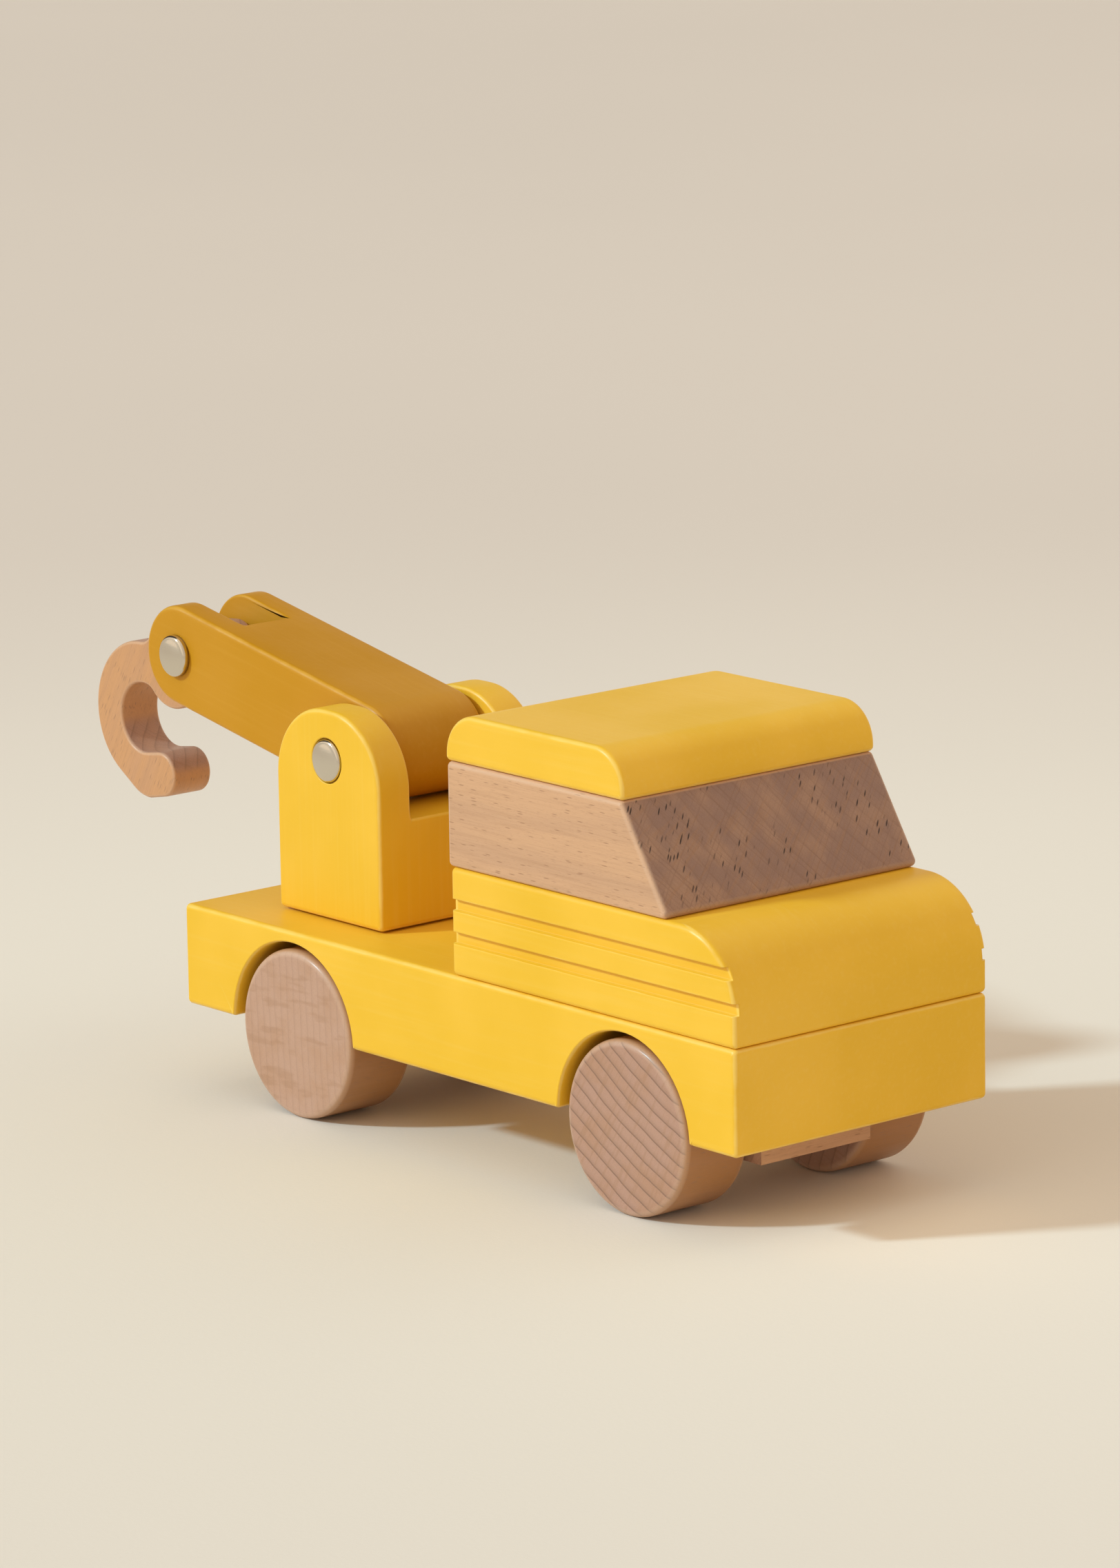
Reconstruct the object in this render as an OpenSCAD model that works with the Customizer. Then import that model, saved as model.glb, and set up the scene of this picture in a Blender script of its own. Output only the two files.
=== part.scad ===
// Wooden toy tower crane truck: a chassis with a stacked-block cab, four wheels, and a swivelling
// tower that carries a luffing boom with a swinging hook. Millimetres, +Z up, +X towards the cab's
// front, +Y to the truck's left. The origin is on the ground, midway along the overall length.

/* [Chassis] */
// Width of the chassis and of the cab blocks
body_w = 71.4; // [66:0.2:80]
// Length of the chassis
chassis_l = 184; // [180:1:200]
// Height of the chassis underside above the ground
chassis_z = 19.5; // [19.5:0.1:20]
// Height of the chassis block
chassis_h = 23; // [23:0.5:26]
// Rounding of the block edges
edge_r = 1.2; // [0.8:0.1:1.6]
// Radius of the wheel arches
arch_r = 20.8; // [20.6:0.1:21]

/* [Cab] */
// Length of the hood block
hood_l = 90.4; // [88:0.2:92]
// Height of the hood block
hood_h = 23.7; // [23:0.1:26]
// Radius of the hood's front top edge
hood_r = 17; // [14:0.5:18]
// Height of one side groove
groove_h = 2.6; // [2:0.1:3]
// Depth of the side grooves
groove_d = 1.4; // [1:0.1:2]
// Height of the lower groove's bottom edge above the deck
groove_z = 7; // [5:0.1:8]
// Distance from one groove to the next
groove_pitch = 7.2; // [6:0.1:8]
// Height of the window block
window_h = 23; // [20:0.5:26]
// How far the window block's bottom front edge sits behind the hood's front
window_front = 19.3; // [18:0.1:24]
// How far the windscreen leans back from bottom to top
window_lean = 14.5; // [10:0.5:16]
// How far the window block's rear face sits behind the chassis front
window_rear = 91.2; // [89:0.2:93]
// Height of the roof block
roof_h = 10.6; // [10:0.2:12]
// Radius of the roof's long front and rear edges
roof_r = 9; // [7:0.5:9.5]
// Diameter of the dowels that join the blocks
dowel_d = 8; // [6:1:8]
// Glue line between two stacked blocks
glue_line = 0.05; // [0.04:0.01:0.1]

/* [Wheels] */
// Wheel diameter
wheel_d = 38; // [37.4:0.2:38.4]
// Wheel width
wheel_w = 18; // [16:0.5:18]
// Distance over the outer faces of one axle's wheels
track_w = 69.8; // [68:0.2:71]
// Rounding of the wheel rims
rim_r = 1.6; // [1:0.1:2]
// Front axle behind the chassis front
front_axle_back = 35.5; // [34:0.5:37]
// Rear axle behind the chassis front
rear_axle_back = 146; // [143:0.5:148]
// Diameter of the steel rods (axles and pins)
rod_d = 5; // [4:0.5:5]
// Radial running clearance of a bore around a rod
run_gap = 0.05; // [0.03:0.01:0.08]
// How far an axle block reaches below the chassis underside
axle_block_drop = 7.9; // [6:0.1:8.5]
// Width of the axle blocks, across the truck
axle_block_w = 31; // [28:0.5:31.4]

/* [Tower] */
// Tower centre behind the chassis front
tower_back = 147.3; // [145:0.1:148]
// Tower length along the truck
tower_l = 36; // [34:0.5:38]
// Tower width across the truck
tower_w = 46.9; // [45:0.1:48]
// Seam between the deck and the tower
tower_seam = 0.4; // [0.3:0.1:0.6]
// Height of the boom pin above the deck
boom_pin_z = 36.2; // [36:0.1:38]
// Height of the ears above the boom pin
ear_top = 11.3; // [11:0.1:12]
// Radius of the ears' top corners
ear_r = 16.5; // [14:0.5:17.5]
// Width of the slot between the ears
slot_w = 28.8; // [28:0.1:30]
// Height of the slot floor above the deck
slot_floor = 24.5; // [22:0.1:24.5]

/* [Boom and hook] */
// Distance from the boom pin to the hook pin
boom_l = 67.8; // [64:0.2:72]
// Height of the boom bar
boom_h = 22.6; // [22:0.2:22.8]
// Width of the boom bar
boom_w = 26.4; // [26:0.1:27]
// How far the resting boom points up
boom_tilt = 10.8; // [8:0.1:14]
// Width of the slot in the boom's fork
fork_w = 12.6; // [12.2:0.1:13]
// Depth of the fork slot behind the hook pin
fork_depth = 14.7; // [14:0.1:18]
// Thickness of the hook
hook_t = 10.8; // [10:0.1:11.2]
// Outer radius of the hook's bow
hook_r = 17.1; // [16:0.1:18]
// Radius of the hook's throat
throat_r = 8.1; // [7.5:0.1:8.5]
// Radius of the hook's eye
eye_r = 6; // [5.5:0.1:6.5]

/* [Push-on caps] */
// Diameter of a cap
cap_d = 9.6; // [9.2:0.2:10.4]
// Height of a cap's rim
cap_h = 1.6; // [1.2:0.1:2]
// Extra height of the dome in the middle of a cap
cap_dome = 0.5; // [0.3:0.1:0.8]
// Depth of the recess around the boom pin's caps
recess_d = 1.1; // [0.8:0.1:1.4]

/* [Hidden] */
yellow = [0.95, 0.74, 0.20];
mustard = [0.80, 0.57, 0.18];
beech = [0.83, 0.66, 0.50];
steel = [0.75, 0.73, 0.70];
round_fn = 128;
soft_fn = 24;
rim_step = 15;
arc_step = 7.5;
eps = 0.02;
cut = 1;
seat = 0.5;
deck_z = chassis_z + chassis_h;
groove_foot = [groove_z, groove_z + groove_pitch];
hood_top = deck_z + hood_h;
window_top = hood_top + window_h;
roof_top = window_top + roof_h;
roof_proud = 0.3;
roof_front = window_front + window_lean + roof_proud;
axle_z = wheel_d / 2;
rod_r = rod_d / 2;
bore_r = rod_r + run_gap;
press_r = rod_r - eps;
inner_face = track_w / 2 - wheel_w;
wheel_grip = 13;
// Hook at rest, from the hook pin: centres of its bow, knee, heel, tip, belly and throat.
bow = [-24.2, -18.4];
knee = [-12.7, -5.4];
knee_r = 10;
heel = [-22.8, -32.52];
tip = [-17.6, -31.6];
tip_r = 5.2;
hook_fillet = 4;
heel_r = 5.32;
belly = [-22.5, -27.5];
belly_r = 10.34;
throat = [-23.75, -19.1];
mouth = 4 * throat_r;
// Overall length, from the chassis front to the rear of the hook's bow.
hook_pin_back = tower_back + boom_l * cos(boom_tilt);
overall_l = hook_pin_back - bow[0] + hook_r;
front_x = overall_l / 2;
front_axle_x = front_x - front_axle_back;
rear_axle_x = front_x - rear_axle_back;
tower_x = front_x - tower_back;
boom_pin_top = deck_z + boom_pin_z;
hook_pin_x = front_x - hook_pin_back;
hook_pin_z = boom_pin_top + boom_l * sin(boom_tilt);
// Dowels: distance behind the chassis front of each pair, and how deep they go into each block.
dowel_grip = 8;
hood_dowel_y = 20;
hood_dowel_back = 72;
window_dowel_back = [45, 78];
roof_dowel_back = [50, 78];
roof_grip = 5;
// Swivel: the cap hangs just under the arch's ceiling, inside a pocket in the rear axle block.
swivel_gap = 0.35;
swivel_reach = cap_d / 2 + abs(tower_x - rear_axle_x);
swivel_cap_top = axle_z + sqrt(pow(arch_r, 2) - pow(swivel_reach, 2)) - swivel_gap;
swivel_grip = 18;
swivel_tail = 2.6;
swivel_hub = 1;
hub_wall = 1;
pocket_r = cap_d / 2 + 1.2;
pocket_floor = swivel_cap_top - 7;
// Caps: where they sit along their pins, how deep their holes are, and how they are rolled over.
boom_cap_seat = tower_w / 2 - recess_d;
hook_cap_seat = boom_w / 2;
cap_hole = 1;
recess_gap = 0.3;
cap_roll = 0.5;
crown_r = cap_d / 2 - 0.6;

// Half the outline of a disc of radius r and width w whose rims are rounded by e.
function rim(r, w, e) = concat(
    r > e ? [[0, -w / 2]] : [],
    [for (a = [-90 : rim_step : 0]) [r - e + e * cos(a), e - w / 2 + e * sin(a)]],
    [for (a = [0 : rim_step : 90]) [r - e + e * cos(a), w / 2 - e + e * sin(a)]],
    r > e ? [[0, w / 2]] : []);

// A disc on the Y axis with rounded rims, the brush that the block outlines are hulled from.
module soft_roller(r, w, e) {
    rotate([90, 0, 0])
        rotate_extrude($fn = r > 3 * e ? round_fn / 2 : soft_fn)
            polygon(rim(r, w, e));
}

// A block across the truck: the hull of rollers [x, z, r].
module soft_block(rollers, w, e = edge_r) {
    hull()
        for (p = rollers)
            translate([p[0], 0, p[1]])
                soft_roller(p[2], w, e);
}

// A cylinder along Y from y0 to y1, through (x, z).
module y_bar(x, z, r, y0, y1) {
    translate([x, y1, z])
        rotate([90, 0, 0])
            cylinder(r = r, h = y1 - y0, $fn = round_fn);
}

module z_bar(x, y, r, z0, z1) {
    translate([x, y, z0])
        cylinder(r = r, h = z1 - z0, $fn = round_fn / 2);
}

module chassis() {
    low = chassis_z + edge_r;
    high = deck_z - edge_r;
    front = front_x - edge_r;
    rear = front_x - chassis_l + edge_r;
    color(yellow)
        difference() {
            soft_block([[front, low, edge_r], [front, high, edge_r], [rear, low, edge_r], [rear, high, edge_r]],
                body_w);
            for (x = [front_axle_x, rear_axle_x])
                y_bar(x, axle_z, arch_r, -body_w, body_w);
            z_bar(tower_x, 0, bore_r, chassis_z, deck_z + cut);
            for (side = [-1, 1])
                z_bar(front_x - hood_dowel_back, side * hood_dowel_y, dowel_d / 2 - eps,
                    deck_z - dowel_grip, deck_z + cut);
        }
}

module hood_block() {
    low = deck_z + glue_line + edge_r;
    high = hood_top - edge_r;
    front = front_x - edge_r;
    rear = front_x - hood_l + edge_r;
    color(yellow)
        difference() {
            intersection() {
                soft_block([[front, low, edge_r], [front, high, edge_r], [rear, low, edge_r], [rear, high, edge_r]],
                    body_w);
                soft_block([[rear, low, edge_r], [rear, high, edge_r],
                    [front_x - hood_r, hood_top - hood_r, hood_r]], body_w);
            }
            for (side = [-1, 1], foot = groove_foot)
                translate([front_x - hood_l / 2, side * body_w / 2, deck_z + foot + groove_h / 2])
                    cube([hood_l + 2 * cut, 2 * groove_d, groove_h], center = true);
            for (side = [-1, 1])
                z_bar(front_x - hood_dowel_back, side * hood_dowel_y, dowel_d / 2 - eps,
                    deck_z - cut, deck_z + dowel_grip);
            for (back = window_dowel_back)
                z_bar(front_x - back, 0, dowel_d / 2 - eps, hood_top - dowel_grip, hood_top + cut);
        }
}

module window_block() {
    low = hood_top + glue_line + edge_r;
    slope = atan2(window_h, window_lean);
    front_low = front_x - window_front;
    front_high = front_low - window_lean;
    rear = front_x - window_rear + edge_r;
    color(beech)
        difference() {
            soft_block([[rear, low, edge_r], [rear, window_top - edge_r, edge_r],
                [front_low - edge_r / tan(slope / 2), low, edge_r],
                [front_high - edge_r * tan(slope / 2), window_top - edge_r, edge_r]], body_w);
            for (back = window_dowel_back)
                z_bar(front_x - back, 0, dowel_d / 2 - eps, hood_top - cut, hood_top + dowel_grip);
            for (back = roof_dowel_back)
                z_bar(front_x - back, 0, dowel_d / 2 - eps, window_top - dowel_grip, window_top + cut);
        }
}

// The wide rounds are swept by small rollers, which keeps them above the block's underside.
module roof_block() {
    low = window_top + glue_line + edge_r;
    middle = roof_top - roof_r;
    front = front_x - roof_front - roof_r;
    rear = front_x - window_rear - roof_proud + roof_r;
    reach = roof_r - edge_r;
    color(yellow)
        difference() {
            soft_block(concat([[rear - reach, low, edge_r], [front + reach, low, edge_r]],
                [for (a = [0 : arc_step : 90]) [front + reach * cos(a), middle + reach * sin(a), edge_r]],
                [for (a = [0 : arc_step : 90]) [rear - reach * cos(a), middle + reach * sin(a), edge_r]]), body_w);
            for (back = roof_dowel_back)
                z_bar(front_x - back, 0, dowel_d / 2 - eps, window_top - cut, window_top + roof_grip);
        }
}

module hood_dowels() {
    color(beech)
        for (side = [-1, 1])
            z_bar(front_x - hood_dowel_back, side * hood_dowel_y, dowel_d / 2,
                deck_z - dowel_grip + seat, deck_z + dowel_grip - seat);
}

module window_dowels() {
    color(beech)
        for (back = window_dowel_back)
            z_bar(front_x - back, 0, dowel_d / 2, hood_top - dowel_grip + seat, hood_top + dowel_grip - seat);
}

module roof_dowels() {
    color(beech)
        for (back = roof_dowel_back)
            z_bar(front_x - back, 0, dowel_d / 2, window_top - dowel_grip + seat, window_top + roof_grip - seat);
}

// A block that fills the wheel arch between the wheels and carries the axle.
module axle_block(x) {
    low = chassis_z - axle_block_drop;
    half = arch_r - eps;
    color(beech)
        difference() {
            union() {
                y_bar(x, axle_z, half, -axle_block_w / 2, axle_block_w / 2);
                translate([x - half, -axle_block_w / 2, low])
                    cube([2 * half, axle_block_w, axle_z - low]);
            }
            translate([x - arch_r, -body_w / 2, low - arch_r])
                cube([2 * arch_r, body_w, arch_r]);
            y_bar(x, axle_z, bore_r, -axle_block_w, axle_block_w);
        }
}

module front_axle_block() {
    axle_block(front_axle_x);
}

module rear_axle_block() {
    difference() {
        axle_block(rear_axle_x);
        z_bar(tower_x, 0, pocket_r, pocket_floor, deck_z);
    }
}

module axle(x) {
    color(steel)
        y_bar(x, axle_z, rod_r, -inner_face - wheel_grip, inner_face + wheel_grip);
}

module front_axle() {
    axle(front_axle_x);
}

module rear_axle() {
    axle(rear_axle_x);
}

// A solid disc with rounded rims and a blind bore in its inner face; side is +1 on the left.
module wheel(x, side) {
    r = wheel_d / 2;
    color(beech)
        translate([x, side * track_w / 2, axle_z])
            rotate([side * 90, 0, 0])
                difference() {
                    translate([0, 0, wheel_w / 2])
                        rotate_extrude($fn = round_fn)
                            polygon(rim(r, wheel_w, rim_r));
                    translate([0, 0, wheel_w - wheel_grip])
                        cylinder(r = press_r, h = wheel_grip + cut, $fn = round_fn);
                }
}

module wheel_front_left() {
    wheel(front_axle_x, 1);
}

module wheel_front_right() {
    wheel(front_axle_x, -1);
}

module wheel_rear_left() {
    wheel(rear_axle_x, 1);
}

module wheel_rear_right() {
    wheel(rear_axle_x, -1);
}

module tower() {
    low = deck_z + tower_seam + edge_r;
    top = boom_pin_top + ear_top;
    half = tower_l / 2;
    color(yellow)
        difference() {
            soft_block([[tower_x - half + edge_r, low, edge_r], [tower_x + half - edge_r, low, edge_r],
                [tower_x - half + ear_r, top - ear_r, ear_r], [tower_x + half - ear_r, top - ear_r, ear_r]],
                tower_w);
            translate([tower_x - tower_l, -slot_w / 2, deck_z + slot_floor])
                cube([2 * tower_l, slot_w, tower_l]);
            y_bar(tower_x, boom_pin_top, press_r, -tower_w, tower_w);
            for (side = [-1, 1])
                y_bar(tower_x, boom_pin_top, cap_d / 2 + recess_gap,
                    side * tower_w / 2 - recess_d, side * tower_w / 2 + recess_d);
            z_bar(tower_x, 0, press_r, deck_z, deck_z + swivel_grip + seat);
        }
}

module swivel_pin() {
    color(steel)
        z_bar(tower_x, 0, rod_r, swivel_cap_top - swivel_tail, deck_z + swivel_grip);
}

// A push-on cap: a flat disc with a domed crown and a blind hole for the rod, crown towards +Z.
module cap(hole) {
    color(steel)
        difference() {
            rotate_extrude($fn = round_fn)
                intersection() {
                    union() {
                        offset(r = cap_roll, $fn = soft_fn)
                            translate([cap_roll - cap_d / 2, cap_roll])
                                square([cap_d - 2 * cap_roll, cap_h - 2 * cap_roll]);
                        translate([0, cap_h])
                            scale([1, cap_dome / crown_r])
                                circle(r = crown_r, $fn = round_fn);
                    }
                    square([cap_d, cap_h + cap_dome + cut]);
                }
            translate([0, 0, -cut])
                cylinder(r = press_r, h = hole + cut, $fn = round_fn);
        }
}

module swivel_cap() {
    hub_foot = swivel_cap_top - swivel_tail - seat;
    translate([tower_x, 0, swivel_cap_top])
        rotate([180, 0, 0])
            cap(cap_h - seat);
    color(steel)
        difference() {
            z_bar(tower_x, 0, rod_r + hub_wall, hub_foot, swivel_cap_top - swivel_hub);
            z_bar(tower_x, 0, press_r, swivel_cap_top - swivel_tail, swivel_cap_top);
        }
}

module boom_pin() {
    color(steel)
        y_bar(tower_x, boom_pin_top, rod_r, -boom_cap_seat - cap_hole, boom_cap_seat + cap_hole);
}

module hook_pin() {
    color(steel)
        y_bar(hook_pin_x, hook_pin_z, rod_r, -hook_cap_seat - cap_hole, hook_cap_seat + cap_hole);
}

// A cap seated at distance seat from the middle, crown outwards; side is +1 on the left.
module pin_cap(x, z, seat, side) {
    translate([x, side * seat, z])
        rotate([-side * 90, 0, 0])
            cap(cap_hole);
}

module boom_pin_cap_left() {
    pin_cap(tower_x, boom_pin_top, boom_cap_seat, 1);
}

module boom_pin_cap_right() {
    pin_cap(tower_x, boom_pin_top, boom_cap_seat, -1);
}

module hook_pin_cap_left() {
    pin_cap(hook_pin_x, hook_pin_z, hook_cap_seat, 1);
}

module hook_pin_cap_right() {
    pin_cap(hook_pin_x, hook_pin_z, hook_cap_seat, -1);
}

module boom() {
    r = boom_h / 2;
    color(mustard)
        translate([tower_x, 0, boom_pin_top])
            rotate([0, boom_tilt, 0])
                difference() {
                    soft_block([[0, 0, r], [-boom_l, 0, r]], boom_w);
                    translate([-boom_l - 2 * r + fork_depth - r, -fork_w / 2, -2 * r])
                        cube([3 * r, fork_w, 4 * r]);
                    y_bar(0, 0, bore_r, -boom_w, boom_w);
                    y_bar(-boom_l, 0, press_r, -boom_w, boom_w);
                }
}

module disc(p, r) {
    translate(p)
        circle(r = r, $fn = round_fn);
}

// The hook's outline: its bow and throat, the arm that runs up to the eye, and the tip.
module hook_outline() {
    offset(r = -hook_fillet)
        offset(delta = hook_fillet)
            union() {
                difference() {
                    hull() {
                        disc(bow, hook_r);
                        disc(belly, belly_r);
                        disc(heel, heel_r);
                    }
                    disc(throat, throat_r);
                    translate([throat[0], throat[1] + throat_r - mouth])
                        square(mouth);
                }
                hull() {
                    disc(heel, heel_r);
                    disc(tip, tip_r);
                }
                hull() {
                    disc([0, 0], eye_r);
                    disc(knee, knee_r);
                }
                difference() {
                    translate([throat[0], throat[1] + throat_r])
                        square([cut - knee[0], bow[1] + hook_r - throat[1] - throat_r]);
                    disc(throat, throat_r);
                }
            }
}

module hook() {
    color(beech)
        translate([hook_pin_x, 0, hook_pin_z])
            rotate([90, 0, 0])
                difference() {
                    linear_extrude(height = hook_t, center = true, $fn = round_fn)
                        hook_outline();
                    cylinder(r = bore_r, h = 2 * hook_t, center = true, $fn = round_fn);
                }
}

chassis();
hood_block();
window_block();
roof_block();
hood_dowels();
window_dowels();
roof_dowels();
front_axle_block();
rear_axle_block();
front_axle();
rear_axle();
wheel_front_left();
wheel_front_right();
wheel_rear_left();
wheel_rear_right();
tower();
swivel_pin();
swivel_cap();
boom_pin();
boom_pin_cap_left();
boom_pin_cap_right();
boom();
hook_pin();
hook_pin_cap_left();
hook_pin_cap_right();
hook();
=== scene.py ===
"""A wooden toy tower crane truck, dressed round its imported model.

Metres, +Z up, +X towards the cab's front, +Y to the truck's left. The sections follow the toy as it is
put together: chassis, cab blocks, axles and wheels, tower, boom, hook, and then the steel fittings.
"""
import bmesh
import bpy
import numpy as np
from mathutils import Matrix, Vector


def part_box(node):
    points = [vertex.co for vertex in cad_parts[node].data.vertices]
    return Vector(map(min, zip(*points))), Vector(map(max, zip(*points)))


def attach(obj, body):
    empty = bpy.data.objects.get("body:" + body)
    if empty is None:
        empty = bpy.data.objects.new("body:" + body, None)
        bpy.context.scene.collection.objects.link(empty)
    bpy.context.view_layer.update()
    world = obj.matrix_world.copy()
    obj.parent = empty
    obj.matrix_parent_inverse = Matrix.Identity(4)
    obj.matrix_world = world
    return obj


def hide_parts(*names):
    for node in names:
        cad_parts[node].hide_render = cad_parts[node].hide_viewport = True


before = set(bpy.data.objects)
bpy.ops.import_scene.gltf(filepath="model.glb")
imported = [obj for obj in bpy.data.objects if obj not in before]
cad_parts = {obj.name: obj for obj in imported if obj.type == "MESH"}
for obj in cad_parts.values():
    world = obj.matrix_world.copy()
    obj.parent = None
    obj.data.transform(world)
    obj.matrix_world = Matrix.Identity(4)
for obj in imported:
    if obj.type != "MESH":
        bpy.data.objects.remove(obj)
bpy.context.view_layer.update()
MM = 0.001

# ---------------------------------------------------------------------------------------------
# Studio: a wide pale floor whose colour is painted darker with distance, a painted falloff of light, one cool
# soft key light from behind the truck's near rear corner, and a warm surround that is dimmer ahead of the cab,
# with an unlit part high up behind the truck. The long lens looks at the front near corner.
VIEW_AZIMUTH = 49.671
VIEW_ELEVATION = 12.30
VIEW_ROLL = -0.894
VIEW_DISTANCE = 1.563157
VIEW_LENS = 166.02
AIM_BEHIND_FRONT = 95.86 * MM
AIM_HEIGHT = 77.94 * MM
KEY_HEADING = (-0.50, -0.866)
KEY_ELEVATION = 33.0
KEY_STRENGTH = 1.95
KEY_SOFTNESS = 5.0
KEY_COLOUR = (0.72, 0.98, 1.10)
SKY_HORIZON = (1.12, 0.98, 0.82)
SKY_ZENITH = (1.04, 0.905, 0.735)
SKY_DARK = (0.07, 0.055, 0.045)
SKY_DARK_TOWARDS = (-0.79, 0.053, 0.61)
SKY_AHEAD = 0.68
FLOOR_COLOUR = (0.84, 0.78, 0.70)
# The floor's far colour is a painted falloff of light: painted shade that grows with distance from the truck.
FLOOR_PAINTED_FALLOFF_COLOUR = (0.72, 0.635, 0.567)
FLOOR_RADIUS = 9.0

cab_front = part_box("chassis")[1][0]
aim = Vector((cab_front - AIM_BEHIND_FRONT, 0.0, AIM_HEIGHT))
azimuth, elevation = np.radians(VIEW_AZIMUTH), np.radians(VIEW_ELEVATION)
back = Vector((np.sin(azimuth) * np.cos(elevation), -np.cos(azimuth) * np.cos(elevation), np.sin(elevation)))
right = back.cross(Vector((0, 0, -1))).normalized()
up = back.cross(right)
turn = np.radians(VIEW_ROLL)
side_axis = right * np.cos(turn) + up * np.sin(turn)
up_axis = up * np.cos(turn) - right * np.sin(turn)
camera_data = bpy.data.cameras.new("camera")
camera_data.lens = VIEW_LENS
camera_data.sensor_width = 36.0
camera_data.clip_end = 40.0
camera = bpy.data.objects.new("camera", camera_data)
place = Matrix((side_axis, up_axis, back)).transposed().to_4x4()
place.translation = aim + back * VIEW_DISTANCE
camera.matrix_world = place
bpy.context.scene.collection.objects.link(camera)
bpy.context.scene.camera = camera

key_data = bpy.data.lights.new("key", "SUN")
key_data.energy = KEY_STRENGTH
key_data.angle = np.radians(KEY_SOFTNESS)
key_data.color = KEY_COLOUR
key = bpy.data.objects.new("key", key_data)
rise = np.radians(KEY_ELEVATION)
to_key = Vector((KEY_HEADING[0] * np.cos(rise), KEY_HEADING[1] * np.cos(rise), np.sin(rise)))
key.rotation_euler = to_key.to_track_quat("Z", "Y").to_euler()
bpy.context.scene.collection.objects.link(key)


def add_node(tree, kind, inputs=None, **settings):
    """A shader node of that kind; inputs maps a socket's name or number to a value or to an output socket."""
    made = tree.nodes.new(("Node" if kind.startswith("Group") and kind != "Group" else "ShaderNode") + kind)
    for name, value in settings.items():
        setattr(made, name, value)
    for name, value in (inputs or {}).items():
        if isinstance(value, bpy.types.NodeSocket):
            tree.links.new(value, made.inputs[name])
        else:
            made.inputs[name].default_value = value
    return made


def sums(tree, operation, a, b=0.0, c=0.0, clamp=False):
    """The output of a Math node."""
    return add_node(tree, "Math", {0: a, 1: b, 2: c}, operation=operation, use_clamp=clamp).outputs[0]


def ramp(tree, value, low, high, to_low=0.0, to_high=1.0):
    """value smoothly remapped from low..high to to_low..to_high."""
    return add_node(tree, "MapRange", {"Value": value, "From Min": low, "From Max": high, "To Min": to_low,
                                       "To Max": to_high}, interpolation_type="SMOOTHSTEP").outputs["Result"]


def blend_colour(tree, amount, a, b, kind="MIX"):
    """a mixed towards b by amount."""
    mixed = add_node(tree, "Mix", {0: amount, 6: a, 7: b}, data_type="RGBA", blend_type=kind,
                     clamp_factor=True)
    return mixed.outputs[2]


def rgba(colour):
    return (*colour, 1.0)


world = bpy.data.worlds.new("studio")
world.use_nodes = True
sky = world.node_tree
sky.nodes.clear()
view_ray = add_node(sky, "TexCoord").outputs["Generated"]
height = add_node(sky, "SeparateXYZ", {0: view_ray}).outputs["Z"]
overhead = ramp(sky, height, 0.05, 0.9)
sky_colour = blend_colour(sky, overhead, rgba(SKY_HORIZON), rgba(SKY_ZENITH))
facing_dark = add_node(sky, "VectorMath", {0: view_ray, 1: SKY_DARK_TOWARDS},
                       operation="DOT_PRODUCT").outputs["Value"]
sky_colour = blend_colour(sky, ramp(sky, facing_dark, 0.72, 0.86), sky_colour, rgba(SKY_DARK))
ahead_of_cab = add_node(sky, "SeparateXYZ", {0: view_ray}).outputs["X"]
dimmed = add_node(sky, "HueSaturation", {"Color": sky_colour, "Value": SKY_AHEAD}).outputs[0]
sky_colour = blend_colour(sky, ramp(sky, ahead_of_cab, -0.1, 0.8), sky_colour, dimmed)
surround = add_node(sky, "Background", {"Color": sky_colour, "Strength": 1.0})
sky.links.new(surround.outputs[0], add_node(sky, "OutputWorld").inputs["Surface"])
bpy.context.scene.world = world
bpy.context.scene.view_settings.view_transform = "Standard"


def new_material(name):
    """An empty node material, its tree and its Principled shader."""
    material = bpy.data.materials.new(name)
    material.use_nodes = True
    tree = material.node_tree
    tree.nodes.clear()
    shader = add_node(tree, "BsdfPrincipled")
    tree.links.new(shader.outputs[0], add_node(tree, "OutputMaterial").inputs["Surface"])
    return material, tree, shader


def ring_surface(name, rings, material, edge=None):
    """A closed surface through rings of points: rings[i, j] is point j of ring i, and each face joins the
    points j and j + 1 of rings i and i + 1, with j taken round. A flat face closes the first and last ring.
    The rings run so that their faces look outwards. edge[i, j], 0 to 1, says how near the point is to an
    edge."""
    count, around = rings.shape[:2]
    i, j = np.meshgrid(np.arange(count - 1), np.arange(around), indexing="ij")
    after = (j + 1) % around
    quads = np.stack([i * around + j, i * around + after, (i + 1) * around + after, (i + 1) * around + j], -1)
    first = tuple(range(around - 1, -1, -1))
    last = tuple(range((count - 1) * around, count * around))
    mesh = bpy.data.meshes.new(name)
    mesh.from_pydata(rings.reshape(-1, 3), [], [*quads.reshape(-1, 4).tolist(), first, last])
    mesh.polygons.foreach_set("use_smooth", np.ones(len(mesh.polygons), bool))
    if edge is not None:
        nearness = mesh.attributes.new("edge", "FLOAT", "POINT")
        nearness.data.foreach_set("value", edge.ravel().astype(np.float32))
    mesh.materials.append(material)
    solid = bmesh.new()
    solid.from_mesh(mesh)
    bmesh.ops.remove_doubles(solid, verts=solid.verts, dist=1e-6)
    solid.to_mesh(mesh)
    solid.free()
    piece = bpy.data.objects.new(name, mesh)
    bpy.context.scene.collection.objects.link(piece)
    return piece


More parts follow.
